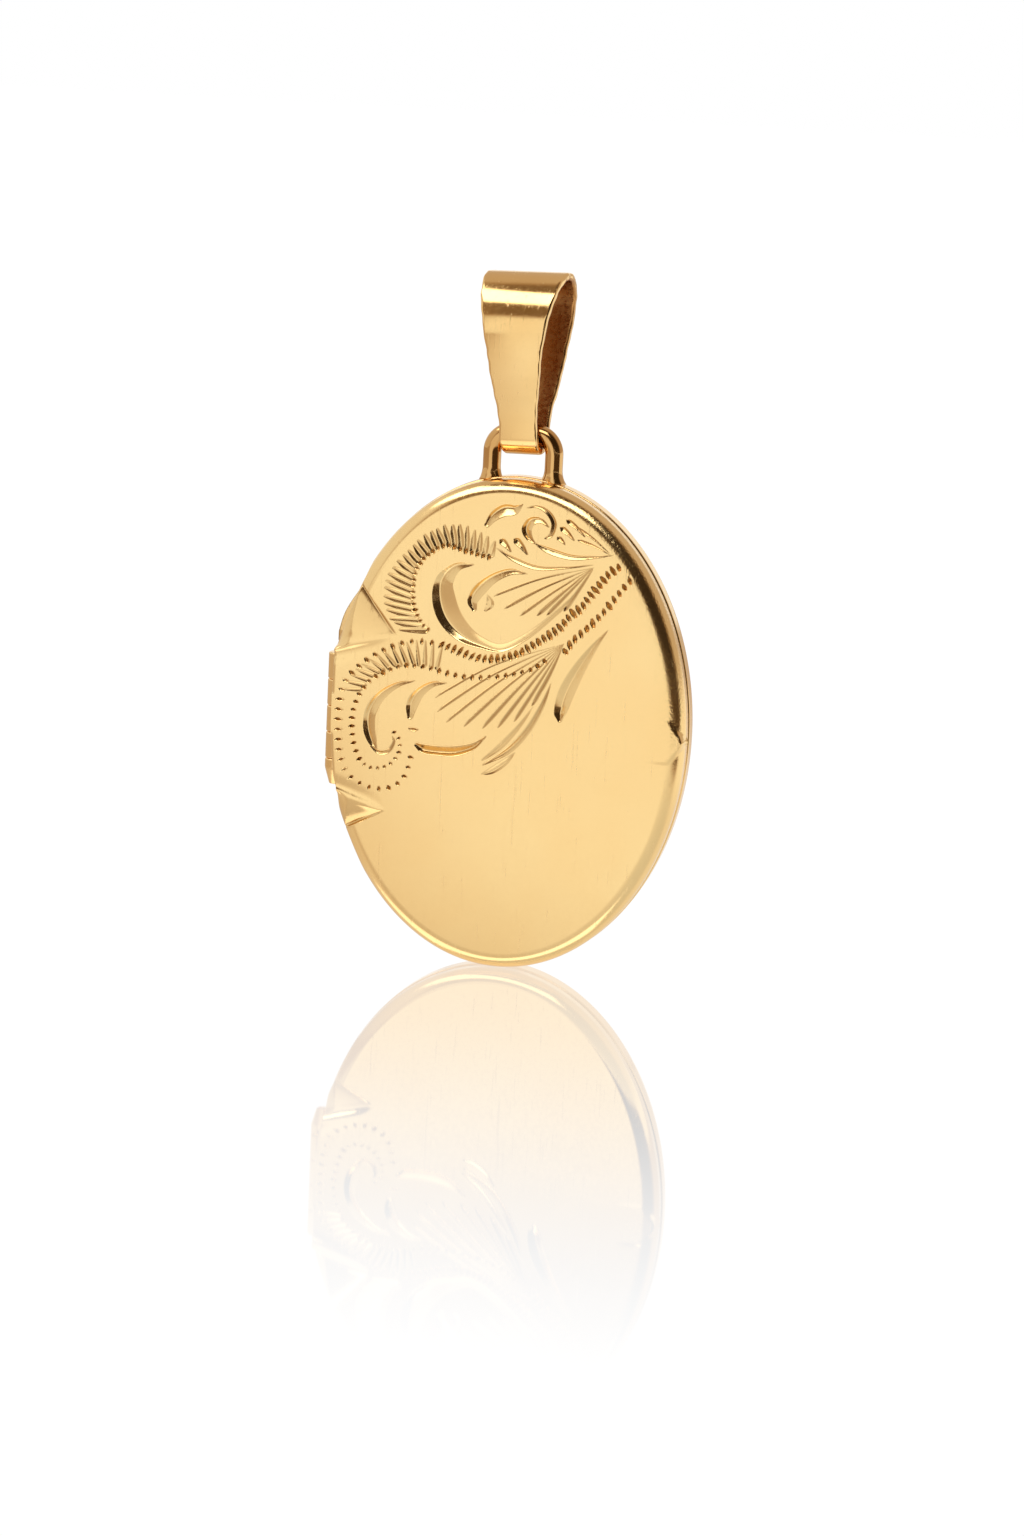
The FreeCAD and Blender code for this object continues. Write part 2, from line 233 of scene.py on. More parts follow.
# fans: (meeting point, bow, line starts with widths)
FANS = (
    ((4.38, 8.78), 0.22, ((-0.75, 6.9, 0.14), (-0.15, 6.3, 0.18), (0.7, 6.0, 0.18),
                          (1.6, 6.1, 0.22), (2.1, 6.15, 0.2), (3.0, 6.45, 0.24),
                          (3.3, 6.95, 0.16))),
    ((3.05, 4.72), 0.3, ((-3.6, 1.32, 0.13), (-3.45, 0.6, 0.16), (-2.95, 0.08, 0.17),
                         (-2.0, -0.05, 0.19), (-1.0, -0.05, 0.2), (-0.2, 0.05, 0.2),
                         (0.65, 0.45, 0.19), (1.55, 1.35, 0.2), (1.9, 2.0, 0.16))),
)

UPPER_BAND_OUTER = ((-0.85, 9.75), (-1.9, 10.25), (-3.1, 10.4), (-4.4, 9.95), (-5.35, 9.0),
                    (-6.2, 7.95), (-6.6, 6.7), (-6.4, 5.6), (-5.65, 4.75))
UPPER_BAND_INNER = ((-1.1, 8.9), (-2.4, 9.15), (-3.4, 9.35), (-4.3, 8.85), (-4.9, 8.1),
                    (-5.1, 7.1), (-5.0, 6.0), (-4.6, 5.2), (-4.2, 4.85))
UPPER_ROW = ((5.7, 8.9), (5.2, 8.5), (4.3, 7.3), (3.9, 6.7), (3.4, 6.3), (2.8, 5.55),
             (2.1, 5.0), (1.4, 4.5), (0.5, 3.95), (-0.6, 3.65), (-1.6, 3.65), (-2.6, 3.95),
             (-3.4, 4.15), (-4.4, 4.25), (-5.4, 4.1), (-6.5, 3.6), (-7.5, 2.9), (-8.3, 2.1),
             (-8.7, 1.3), (-8.85, 0.2), (-8.82, -0.9), (-8.75, -1.9))
MIDDLE_ROW = ((6.3, 8.25), (5.5, 7.15), (4.9, 6.35), (4.2, 5.6), (3.55, 4.95), (3.15, 4.35))
LOWER_ROW = ((2.1, 3.75), (1.5, 3.3), (0.9, 3.08), (-0.1, 2.78), (-1.5, 2.6), (-2.6, 2.62),
             (-3.6, 2.8), (-4.3, 2.92), (-5.3, 2.9), (-6.1, 2.62), (-7.0, 2.1), (-7.6, 1.4),
             (-8.0, 0.4), (-8.08, -0.6), (-7.9, -1.6), (-7.6, -2.3))
SCROLL_DOTS = ((-7.6, -2.3), (-7.1, -2.68), (-6.4, -2.65), (-5.85, -2.35), (-5.45, -1.75),
               (-5.45, -1.1), (-5.75, -0.7))
BOTTOM_DOTS = ((-8.75, -1.9), (-8.55, -2.6), (-8.25, -3.1), (-7.8, -3.45), (-7.3, -3.68),
               (-6.7, -3.8), (-6.2, -3.75), (-5.7, -3.6), (-5.2, -3.15), (-4.95, -2.6),
               (-4.8, -1.95))


def tapered(start, end, width, bow=0.0):
    """A gouge from its thick end to its thin end, bowed sideways by a share of its length."""
    start, end = np.asarray(start, float), np.asarray(end, float)
    side = np.array([start[1] - end[1], end[0] - start[0]]) * bow
    spots = (0.0, 0.12, 0.5, 1.0)
    sizes = (0.35, 1.0, 0.75, 0.2)
    return tuple((*(start + (end - start) * s + side * 4 * s * (1 - s)), width * size)
                 for s, size in zip(spots, sizes))


def flutes(outer, inner, count, width):
    """Gouges across the band between two curves, wider at their inner end."""
    far = spread(outer, count)[0]
    near = spread(inner, count)[0]
    for start, end in zip(far, near):
        drift = np.array([random.uniform(-0.05, 0.05), random.uniform(-0.06, 0.06)])
        start, end = start + drift, end - drift
        size = width * random.uniform(0.85, 1.15)
        middle = start + (end - start) * 0.45
        last = start + (end - start) * 0.9
        yield 0.14, 0.1, ((*start, size * 0.35), (*middle, size * 0.8), (*last, size),
                           (*end, size * 0.55))


def beads(row, count, length, width, turn=90.0):
    """Short pricks across a row, each turned from the row's own direction."""
    places, tangents = spread(row, count)
    angle = math.radians(turn)
    for place, tangent in zip(places, tangents):
        lean = angle + random.uniform(-0.2, 0.2)
        across = np.array([tangent[0] * math.cos(lean) - tangent[1] * math.sin(lean),
                           tangent[0] * math.sin(lean) + tangent[1] * math.cos(lean)])
        reach = across * length * random.uniform(0.4, 0.6)
        size = width * random.uniform(0.85, 1.15)
        yield 0.62, 0.0, ((*(place - reach), size * 0.5), (*place, size), (*(place + reach), size * 0.6))


def all_cuts():
    yield from SCROLL_CUTS
    for start, end, width in GOUGES:
        yield 0.3, 0.2, tapered(start, end, width, 0.04)
    for meet, bow, starts in FANS:
        for i, (x, h, width) in enumerate(starts):
            share = 1 - i / (len(starts) - 1)
            yield 0.26, 0.25, tapered((x, h), meet, width, bow * 0.25 * (share - 0.3))
    yield from flutes(UPPER_BAND_OUTER, UPPER_BAND_INNER, 26, 0.42)
    yield from beads(UPPER_BAND_INNER, 26, 0.22, 0.2)
    yield from beads(UPPER_ROW[:13], 34, 0.4, 0.22, 75)
    yield from beads(UPPER_ROW[12:], 19, 0.24, 0.18)
    yield from beads(MIDDLE_ROW, 13, 0.36, 0.22, 60)
    yield from beads(LOWER_ROW, 33, 0.22, 0.2)
    yield from flutes(UPPER_ROW[12:19], LOWER_ROW[6:12], 15, 0.24)
    yield from beads(SCROLL_DOTS, 11, 0.14, 0.16)
    yield from beads(BOTTOM_DOTS, 12, 0.18, 0.2)


def engraving(x, h):
    """How deep the engraving goes at each point of the face, and the painted shade in it.
    Narrow, steep cuts get more painted shade than wide or shallow ones."""
    carved = np.zeros_like(x)
    painted_shade = np.zeros_like(x)
    for steepness, lean, points in all_cuts():
        line = smooth_curve(points, 0.03)
        reach = line[:, 2].max() / 2
        low, high = line[:, :2].min(axis=0) - reach, line[:, :2].max(axis=0) + reach
        near = np.nonzero((x > low[0]) & (x < high[0]) & (h > low[1]) & (h < high[1]))[0]
        if not len(near):
            continue
        tangent = np.gradient(line[:, :2], axis=0)
        tangent /= np.hypot(*tangent.T)[:, None]
        gap_x = x[near, None] - line[None, :, 0]
        gap_h = h[near, None] - line[None, :, 1]
        foot = np.argmin(gap_x ** 2 + gap_h ** 2, axis=1)
        each = np.arange(len(near))
        gap_x, gap_h = gap_x[each, foot], gap_h[each, foot]
        width = np.maximum(line[foot, 2], 0.01)
        side = np.sign(tangent[foot, 0] * gap_h - tangent[foot, 1] * gap_x)
        across = side * np.hypot(gap_x, gap_h) / (width / 2)
        fall = np.where(across > lean, (across - lean) / (1 - lean), (lean - across) / (1 + lean))
        depth = np.minimum(1.45 * steepness * width, deepest_cut) * np.clip(1 - fall ** 1.25, 0, 1)
        carved[near] = np.maximum(carved[near], depth)
        # painted shade: darkest along a cut's middle, and more in narrow, steep cuts
        cut_shade = np.clip((0.2 / width) ** 1.5, 0.12, 1.0) * np.clip(1 - np.abs(across), 0, 1) ** 0.5
        cut_shade = cut_shade * min(1.0, steepness / 0.3)
        painted_shade[near] = np.maximum(painted_shade[near], np.where(np.abs(across) < 1, cut_shade, 0))
    return carved, painted_shade


# ---- the two halves as height fields over their outline ----
def crown_depth(x, h):
    """Depth of the crowned face, part of a large ball."""
    radius = (half_height ** 2 + crown ** 2) / (2 * crown)
    return half_depth - radius + np.sqrt(radius ** 2 - x ** 2 - h ** 2)


def ellipse_inset(x, h, rx, ry):
    """Distance in from the edge of an ellipse, and 0 outside it."""
    t = np.arctan2(h / ry, x / rx)
    for _ in range(5):
        ex, eh = rx * np.cos(t), ry * np.sin(t)
        dx, dh = -rx * np.sin(t), ry * np.cos(t)
        slope = (ex - x) * dx + (eh - h) * dh
        bend = dx ** 2 + dh ** 2 - (ex - x) * ex - (eh - h) * eh
        t = t - slope / np.maximum(bend, 1.0)
    inside = (x / rx) ** 2 + (h / ry) ** 2 < 1
    return np.where(inside, np.hypot(rx * np.cos(t) - x, ry * np.sin(t) - h), 0)


def beyond(x, h, start, end):
    """Signed distance of each point from the line start-end, positive on its left."""
    (x0, h0), (x1, h1) = start, end
    length = math.hypot(x1 - x0, h1 - h0)
    return ((x1 - x0) * (h - h0) - (h1 - h0) * (x - x0)) / length


PLEATS = ((upper_pleat, hinge_middle + hinge_length / 2 + upper_pleat_lift),
          (lower_pleat, hinge_middle - hinge_length / 2))


def clipped(x, h, limits):
    """Draws points towards the middle until they are inside every (nx, nh, c) limit."""
    share = np.ones_like(x)
    for nx, nh, c in limits:
        out = nx * x + nh * h
        share = np.where(out > c, np.minimum(share, c / np.maximum(out, 1e-9)), share)
    return x * share, h * share


def pleat_limit(pleat, inset):
    """The straight outer edge of a pleat as a limit (nx, nh, c), moved inwards by inset."""
    (_, (foot_x, foot_h)), end_h = pleat
    run = Vector((foot_x - hinge_x, foot_h - end_h)).normalized()
    out = Vector((-abs(run.y), abs(run.x) * math.copysign(1, end_h)))
    return out.x, out.y, out.x * hinge_x + out.y * end_h - inset


def oval(t, rx, ry):
    return rx * np.cos(t), ry * np.sin(t)


def front_edge(t):
    """The front half's outline, with the hinge side and the pleats' edges."""
    x, h = oval(t, half_width - front_step, half_height - front_step)
    x, h = clipped(x, h, [(-1, 0, -hinge_x)] + [pleat_limit(pleat, 0) for pleat in PLEATS])
    return x + hinge_bow(h) * smooth_step(-8.6, -9.1, x), h


def hinge_bow(h):
    """How far the hinge side draws in towards its lower end."""
    return hinge_draw * np.clip((-0.3 - h) / 3.6, 0, 1) ** 1.6


def front_top_edge(t):
    """The same outline with the thumb tip standing out of it."""
    x, h = front_edge(t)
    radius = np.hypot(x, h)
    slope_x, slope_h = x / radius, h / radius
    reach = np.full_like(x, np.inf)
    for start, end in zip(beak[1:5], beak[2:6]):
        nx, nh = end[1] - start[1], start[0] - end[0]
        c = nx * start[0] + nh * start[1]
        facing = nx * slope_x + nh * slope_h
        reach = np.minimum(reach, np.where(facing > 1e-6, c / np.maximum(facing, 1e-6), np.inf))
    longer = np.where((x > 0) & (np.abs(h) < 1.2), np.maximum(radius, reach), radius)
    return slope_x * longer, slope_h * longer


def back_edge(t):
    x, h = oval(t, half_width, half_height)
    return clipped(x, h, [(-1, 0, -hinge_x)])


def back_top_edge(t):
    """The back half's outline at its back, a little fuller beside the hinge's upper end."""
    x, h = back_edge(t)
    beside = smooth_step(3.08, 3.45, h)
    fuller = swell * smooth_step(7.4, 4.6, h) * smooth_step(-5.0, -8.0, x)
    return np.maximum(x - fuller * beside, hinge_x - swell_past_hinge * beside), h


def inner_edge(t, edge):
    """The inside of a half: its outline less the sheet, and clear of the hinge seat."""
    step = front_step if edge is front_edge else 0.0
    x, h = oval(t, half_width - step - sheet, half_height - step - sheet)
    limits = [(-1, 0, -hinge_wall_x)]
    if edge is front_edge:
        limits += [pleat_limit(pleat, sheet / 2) for pleat in PLEATS]   # clear of the snap lip
    return clipped(x, h, limits)


def rounded_rim(flat, inset, radius):
    """A face that turns down through a quarter round at its edge."""
    gone = radius - np.clip(inset, 0, radius)
    return flat - radius + np.sqrt(np.maximum(radius ** 2 - gone ** 2, 0))


def front_skin(x, h):
    """Depth of the front's outer skin, before engraving."""
    face = crown_depth(x, h)
    inset = ellipse_inset(x, h, half_width - front_step, half_height - front_step)
    face = face - rim_fall * np.clip(1 - inset / rim_fall_reach, 0, 1) ** 2 * (
        smooth_step(-2, 4, x) * smooth_step(-7, -2, h))
    domed = rounded_rim(face, inset, shoulder)
    hinge_side = smooth_step(-5.2, -6.2, x)
    for (tip, _), end_h in PLEATS:
        between = math.copysign(1, end_h) * beyond(x, h, tip, (hinge_x, end_h))
        hinge_side = hinge_side * smooth_step(-0.12, 0.12, between)
    from_side = x - hinge_x - hinge_bow(h)
    top = domed + (rounded_rim(face, from_side, hinge_rim) - domed) * hinge_side
    for pleat in PLEATS:
        (tip, foot), end_h = pleat
        nx, nh, c = pleat_limit(pleat, 0)
        run = 1 - (c - nx * x - nh * h) / (c - nx * tip[0] - nh * tip[1])
        turn = math.copysign(1, end_h)
        from_dome = -turn * beyond(x, h, foot, tip)
        from_hinge = -turn * beyond(x, h, tip, (hinge_x, end_h))
        share = np.clip(from_dome / np.maximum(from_dome + from_hinge, 1e-6), 0, 1)
        rise = pleat_rise + facet_lift + (face - facet_drop - pleat_rise) * share ** 0.3
        facet = face + (rise - face) * np.clip(run, 0, 1) ** 0.7
        facet = rounded_rim(facet, c - nx * x - nh * h, facet_rim)
        ridge = ridge_height * np.exp(-(from_hinge / ridge_width) ** 2) * np.clip(run * 3, 0, 1)
        crease = np.exp(-((from_hinge + crease_place) / crease_width) ** 2) * np.clip(run, 0, 1)
        inside = smooth_step(0.0, 0.13, from_dome) * smooth_step(-0.02, 0.14, from_hinge)
        top = top + (np.minimum(top, facet) - top) * inside
        top = top + (ridge - crease_depth * crease) * smooth_step(0.0, 0.2, from_dome)
    return top + thumb_tip(x, h, top)


def pleat_shade(x, h):
    """Painted shade on the pleats' facets: how dark each point is made, most beside their creases."""
    shade = np.zeros_like(x)
    for (tip, foot), end_h in PLEATS:
        turn = math.copysign(1, end_h)
        from_dome = -turn * beyond(x, h, foot, tip)
        from_hinge = -turn * beyond(x, h, tip, (hinge_x, end_h))
        inside = (from_dome > 0) & (from_hinge > 0)
        share = from_hinge / np.maximum(from_dome + from_hinge, 1e-6)
        shade = np.where(inside, 0.3 * share, shade)
    return shade


def thumb_tip(x, h, top):
    """How far the beak stands above the shoulder."""
    inside = np.full_like(x, np.inf)
    for start, end in zip(beak[:-1], beak[1:]):
        inside = np.minimum(inside, beyond(x, h, start, end))
    base = half_width - shoulder
    slope = np.clip((x - base) / (beak[3][0] - base), 0, 1)
    plateau = crown_depth(x, h) * (1 - slope) + beak_depth * slope
    return np.maximum(plateau - top, 0) * smooth_step(0.0, 0.22, inside)


def back_skin(x, h):
    """Depth of the back's outer skin, flat, with the fuller stretch beside the hinge."""
    inset = ellipse_inset(x, h, half_width, half_height)
    flat = np.full_like(x, half_depth)
    domed = rounded_rim(flat, inset, shoulder)
    skin = np.minimum(domed, rounded_rim(flat, x - hinge_x, hinge_rim))
    beside = smooth_step(3.0, 3.15, h) * smooth_step(7.6, 6.8, h) * smooth_step(-7.4, -8.4, x)
    return np.maximum(skin, swell_edge_depth * beside)


def disc_grid(across, up):
    """A square grid bent into a unit disc, as radius and angle, and its edge in order."""
    u, v = np.meshgrid(np.linspace(-1, 1, across), np.linspace(-1, 1, up))
    x, h = u * np.sqrt(1 - v ** 2 / 2), v * np.sqrt(1 - u ** 2 / 2)
    index = np.arange(across * up).reshape(up, across)
    edge = np.concatenate([index[0, :-1], index[:-1, -1], index[-1, :0:-1], index[:0:-1, 0]])
    cells = np.stack([index[:-1, :-1], index[:-1, 1:], index[1:, 1:], index[1:, :-1]], axis=-1)
    return np.hypot(x, h).ravel(), np.arctan2(h, x).ravel(), edge, cells.reshape(-1, 4)


def ring_faces(inner, outer):
    """Quads between two rings of vertex numbers."""
    return np.stack([inner, outer, np.roll(outer, -1), np.roll(inner, -1)], axis=-1)


def shell(edge, top_edge, step_depth, skin, place, cut, across, up):
    """A pressed half as one closed skin: its face, rim, wall and inside."""
    radius, angle, border, cells = disc_grid(across, up)
    rim_turns = np.linspace(math.pi / 2, 0, 15)
    rim_insets = (shoulder + 0.1) * (1 - np.cos(rim_turns))
    edge_x, edge_h = top_edge(angle)
    share = radius * (1 - rim_insets[0] / np.hypot(edge_x, edge_h))
    xs, hs = [edge_x * share], [edge_h * share]
    turn = angle[border]
    edge_x, edge_h = top_edge(turn)
    for inset in rim_insets[1:]:                # the turn of the rim, from its inside outwards
        share = 1 - inset / np.hypot(edge_x, edge_h)
        xs.append(edge_x * share)
        hs.append(edge_h * share)
    x, h = np.concatenate(xs), np.concatenate(hs)
    d = skin(x, h)
    painted_shade = np.zeros_like(d)
    if cut:
        carved, painted_shade = engraving(x, h)
        # the pleats' facets add their painted shade to that of the cuts
        painted_shade = np.maximum(painted_shade, pleat_shade(x, h))
        d = d - carved
    count = len(turn)
    rim_d = d[-count:]
    layers = [(x, h, d)]
    base_x, base_h = edge(turn)
    groove = knuckle_radius + groove_gap
    groove_end = hinge_length / 2 + groove_past_hinge
    on_hinge = (base_x < hinge_x + 0.5) & (np.abs(base_h - hinge_middle) < groove_end)
    for share in np.linspace(0, 1, 13)[1:]:     # the wall, scooped out where the knuckles lie
        depth = rim_d + (parting_gap + 0.05 - rim_d) * share
        lift = smooth_step(step_depth - 0.15, step_depth + 0.05, depth)
        wall_x = base_x + (edge_x - base_x) * lift
        wall_h = base_h + (edge_h - base_h) * lift
        bend = max(0.0, share * 2 - 1) * math.acos(parting_gap / groove)
        straight = rim_d + (groove - rim_d) * min(1.0, share * 2)
        seat_d = straight if share < 0.5 else np.full(count, groove * math.cos(bend))
        wall_x = np.where(on_hinge, np.maximum(wall_x, hinge_x + groove * math.sin(bend)), wall_x)
        layers.append((wall_x, wall_h, np.where(on_hinge, seat_d, depth)))
    last_x, last_h, _ = layers[-1]
    share = np.where(on_hinge, 1.0, 1 - 0.05 / np.hypot(last_x, last_h))
    layers.append((last_x * share, last_h * share, np.full(count, parting_gap)))
    inner_x, inner_h = inner_edge(turn, edge)
    layers.append((inner_x, inner_h, np.full(count, parting_gap)))
    # the inside, closer layers at its edge
    for share in (1, 0.985, 0.97, 0.95, 0.925, 0.9, 0.87, 0.83, 0.78, 0.7, 0.55, 0.35, 0.15):
        roof_x, roof_h = inner_x * share, inner_h * share
        layers.append((roof_x, roof_h, skin(roof_x, roof_h) - sheet))
    middle = np.zeros(1)
    layers.append((middle, middle, skin(middle, middle) - sheet))
    points = place(*(np.concatenate(column) for column in zip(*layers)))
    faces = [cells]
    ring = border
    for start in range(across * up, len(points) - 1, count):
        following = np.arange(start, start + count)
        faces.append(ring_faces(ring, following))
        ring = following
    quads = np.concatenate(faces)
    centre = np.full(count, len(points) - 1)
    fan = np.stack([ring, centre, np.roll(ring, -1)], axis=-1)
    if place is back:
        quads, fan = quads[:, ::-1], fan[:, ::-1]
    return points, quads.tolist() + fan.tolist(), painted_shade


# ---- swept shapes ----
def loft(rings, caps=False):
    """A skin over equal rings of points. Without caps it closes on itself."""
    rings = np.asarray(rings)
    count, size = rings.shape[:2]
    index = np.arange(count * size).reshape(count, size)
    joined = count if not caps else count - 1
    faces = [ring_faces(index[i], index[(i + 1) % count]) for i in range(joined)]
    faces = np.concatenate(faces).tolist()
    if caps:
        faces += [index[0][::-1].tolist(), index[-1].tolist()]
    return rings.reshape(-1, 3), faces


def rounded_corners(points, radius, steps=5):
    """A closed outline with its corners rounded off."""
    points = np.asarray(points, float)
    result = []
    for before, corner, after in zip(np.roll(points, 1, 0), points, np.roll(points, -1, 0)):
        reach = min(radius, 0.45 * np.hypot(*(before - corner)), 0.45 * np.hypot(*(after - corner)))
        start = corner + (before - corner) / np.hypot(*(before - corner)) * reach
        end = corner + (after - corner) / np.hypot(*(after - corner)) * reach
        for t in np.linspace(0, 1, steps):
            result.append(start * (1 - t) ** 2 + corner * 2 * t * (1 - t) + end * t ** 2)
    return np.asarray(result)


def fix_normals(piece):
    mesh = bmesh.new()
    mesh.from_mesh(piece.data)
    bmesh.ops.recalc_face_normals(mesh, faces=mesh.faces)
    mesh.to_mesh(piece.data)
    mesh.free()


def bezier(p0, p1, p2, p3, count):
    t = np.linspace(0, 1, count, endpoint=False)[:, None]
    p0, p1, p2, p3 = (np.asarray(p, float) for p in (p0, p1, p2, p3))
    return (1 - t) ** 3 * p0 + 3 * t * (1 - t) ** 2 * p1 + 3 * t ** 2 * (1 - t) * p2 + t ** 3 * p3


def bail_side():
    """The bail's outer side outline, from the fold up the front, over and down the back."""
    fold = bail_eye + bail_thickness
    lean = math.radians(bail_lean)
    start = np.array([fold * math.cos(lean), -fold * math.sin(lean)])
    aim = start + np.array([math.sin(lean), math.cos(lean)]) * 2.4
    top = bail_height - fold
    half = [bezier(start, aim, (bail_half_depth, bail_belly - 2.1), (bail_half_depth, bail_belly), 60),
            bezier((bail_half_depth, bail_belly), (bail_half_depth, top - 1.25), (1.3, top), (0, top), 50)]
    turn = np.linspace(-math.pi / 2, -lean, 24, endpoint=False)
    arc = np.stack([fold * np.cos(turn), fold * np.sin(turn)], axis=-1)
    right = np.vstack([arc] + half + [[(0, top)]])
    left = right[-2:0:-1] * (-1, 1)
    return np.vstack([right, left])


def bail_rings():
    """The strip's sections along that outline, a little uneven as hand-finished ones are."""
    outline = bail_side()
    ahead, behind = np.roll(outline, -1, 0), np.roll(outline, 1, 0)
    tangent = ahead - behind
    tangent /= np.hypot(*tangent.T)[:, None]
    inward = np.stack([-tangent[:, 1], tangent[:, 0]], axis=-1)
    heights, widths = zip(*bail_widths)
    profile = smooth_curve(np.stack([heights, widths], axis=-1), 0.1)
    foot = bail_eye + bail_thickness
    rings = []
    for i, ((y, z), (in_y, in_z)) in enumerate(zip(outline, inward)):
        half = np.interp(z + foot, profile[:, 0], profile[:, 1]) / 2
        wobble = 0.012 * math.sin(i * 0.31) + 0.008 * math.sin(i * 0.73 + 1)
        low, high = -half - wobble, half + wobble * 0.7
        corners = ((low, 0.0), (high, 0.0), (high, bail_thickness), (low, bail_thickness))
        section = rounded_corners(corners, 0.17 + 0.04 * math.sin(i * 0.53), 7)
        bulge = 0.02 * (1 - (section[:, 0] / half) ** 2) * np.sign(section[:, 1] - bail_thickness * 0.5)
        depth = section[:, 1] + bulge * 0.5
        rings.append(np.stack([section[:, 0], y + in_y * depth, z + in_z * depth], axis=-1))
    return np.asarray(rings)


def hung(points):
    """Turns the bail about the loop's wire as it hangs, and sets it on the wire."""
    turn = Matrix.Identity(3)
    for axis, angle in zip("XYZ", bail_hang):
        turn = Matrix.Rotation(math.radians(angle), 3, axis) @ turn
    points = points @ np.array(turn).T
    return points + np.array([0, loop_y - half_depth, loop_top])


def loop_path():
    """The wire's centreline in x and h, from one foot to the other."""
    corner = loop_top - loop_corner
    foot = half_height * math.sqrt(1 - (loop_half_gauge / half_width) ** 2) - 0.12
    turn = np.linspace(math.pi, math.pi / 2, 14)
    bend_x = -loop_half_gauge + loop_corner + loop_corner * np.cos(turn)
    bend_h = corner + loop_corner * np.sin(turn)
    leg_h = np.linspace(foot, corner, 16, endpoint=False)
    left = np.concatenate([np.stack([np.full(16, -loop_half_gauge), leg_h], -1),
                           np.stack([bend_x, bend_h], -1)])
    return np.vstack([left, left[::-1] * (-1, 1)])


def loop_rings():
    """The wire's sections, with uneven solder round its feet."""
    path = loop_path()
    tangent = np.gradient(path, axis=0)
    tangent /= np.hypot(*tangent.T)[:, None]
    turn = np.linspace(0, 2 * math.pi, 40, endpoint=False)
    rings = []
    for (x, h), (tx, th) in zip(path, tangent):
        lift = max(0.0, 1 - (h - path[0, 1]) / solder_height)
        solder = solder_spread * lift ** 2.2 * (1.25 if x > 0 else 0.9)
        lumps = 1 + 0.06 * lift * np.sin(3 * turn + (1 if x > 0 else 2))
        radius = (loop_wire_radius + solder) * lumps
        depth = np.minimum(loop_wire_radius + solder * 0.5, solder_limit) * lumps
        side, out = np.cos(turn) * radius, np.sin(turn) * depth
        rings.append(np.stack([x + th * side, loop_y - half_depth + out, h - tx * side], axis=-1))
    return np.asarray(rings)


def lathe(outline, segments):
    """Turns a closed (radius, height) outline about the hinge axis."""
    outline = np.asarray(outline)
    rings = []
    for turn in np.linspace(0, 2 * math.pi, segments, endpoint=False):
        rings.append(np.stack([hinge_x + outline[:, 0] * math.cos(turn),
                               -half_depth + outline[:, 0] * math.sin(turn),
                               hinge_middle + outline[:, 1]], axis=-1))
    return loft(rings)


def opening_ring(outline, place, count=360):
    """Sweeps a closed (reach, depth) outline round the seat plate's opening."""
    outline = np.asarray(outline)
    rings = []
    for t in np.linspace(0, 2 * math.pi, count, endpoint=False):
        x = opening_x + (opening_half_width + outline[:, 0]) * math.cos(t)
        h = (opening_half_height + outline[:, 0]) * math.sin(t)
        rings.append(place(x, h, outline[:, 1]))
    return loft(rings)


def opening_slab(reach, low, high, place):
    """A thin sheet that fills the opening, rounded at its edge, as a closed skin."""
    radius, angle, border, cells = disc_grid(41, 61)
    x = opening_x + (opening_half_width + reach) * radius * np.cos(angle)
    h = (opening_half_height + reach) * radius * np.sin(angle)
    near = place(x, h, np.full_like(x, low))
    far = place(x, h, np.full_like(x, high))
    turn = angle[border]
    side = place(opening_x + (opening_half_width + reach + 0.02) * np.cos(turn),
                 (opening_half_height + reach + 0.02) * np.sin(turn),
                 np.full(len(turn), (low + high) / 2))
    count = len(near)
    rim = np.arange(2 * count, 2 * count + len(border))
    faces = [cells[:, ::-1], cells + count, ring_faces(border, rim)[:, ::-1],
             ring_faces(rim, border + count)[:, ::-1]]
    return np.vstack([near, far, side]), np.concatenate(faces).tolist()


# ---- materials ----
def new_material(name):
    material = bpy.data.materials.new(name)
    material.use_nodes = True
    nodes = material.node_tree.nodes
    return nodes, material.node_tree.links, nodes["Principled BSDF"], material


def tree_of(socket):
    """The nodes and links of the material or world that a socket belongs to."""
    return socket.id_data.nodes, socket.id_data.links


def noise(place, scale, stretch, turn, detail=2.0):
    nodes, links = tree_of(place)
    mapping = nodes.new("ShaderNodeMapping")
    mapping.inputs["Scale"].default_value = stretch
    mapping.inputs["Rotation"].default_value = turn
    texture = nodes.new("ShaderNodeTexNoise")
    texture.inputs["Scale"].default_value = scale
    texture.inputs["Detail"].default_value = detail
    links.new(place, mapping.inputs["Vector"])
    links.new(mapping.outputs["Vector"], texture.inputs["Vector"])
    return texture.outputs["Fac"]


def ramp(factor, low, high, start=0.0, end=1.0, kind="LINEAR"):
    nodes, links = tree_of(factor)
    node = nodes.new("ShaderNodeMapRange")
    node.interpolation_type = kind
    node.inputs["From Min"].default_value = low
    node.inputs["From Max"].default_value = high
    node.inputs["To Min"].default_value = start
    node.inputs["To Max"].default_value = end
    links.new(factor, node.inputs["Value"])
    return node.outputs["Result"]


def soft(factor, low, high, end=1.0):
    return ramp(factor, low, high, 0.0, end, "SMOOTHSTEP")


def maths(operation, first, second):
    """One operation on two values, at least one of them a socket."""
    nodes, links = tree_of(second if isinstance(first, (int, float)) else first)
    node = nodes.new("ShaderNodeMath")
    node.operation = operation
    for socket, value in zip(node.inputs, (first, second)):
        if isinstance(value, (int, float)):
            socket.default_value = value
        else:
            links.new(value, socket)
    return node.outputs["Value"]


def object_place(nodes):
    return nodes.new("ShaderNodeTexCoord").outputs["Object"]


def marked(nodes, name):
    """The value that each point of the mesh carries under this name."""
    node = nodes.new("ShaderNodeAttribute")
    node.attribute_name = name
    return node.outputs["Fac"]


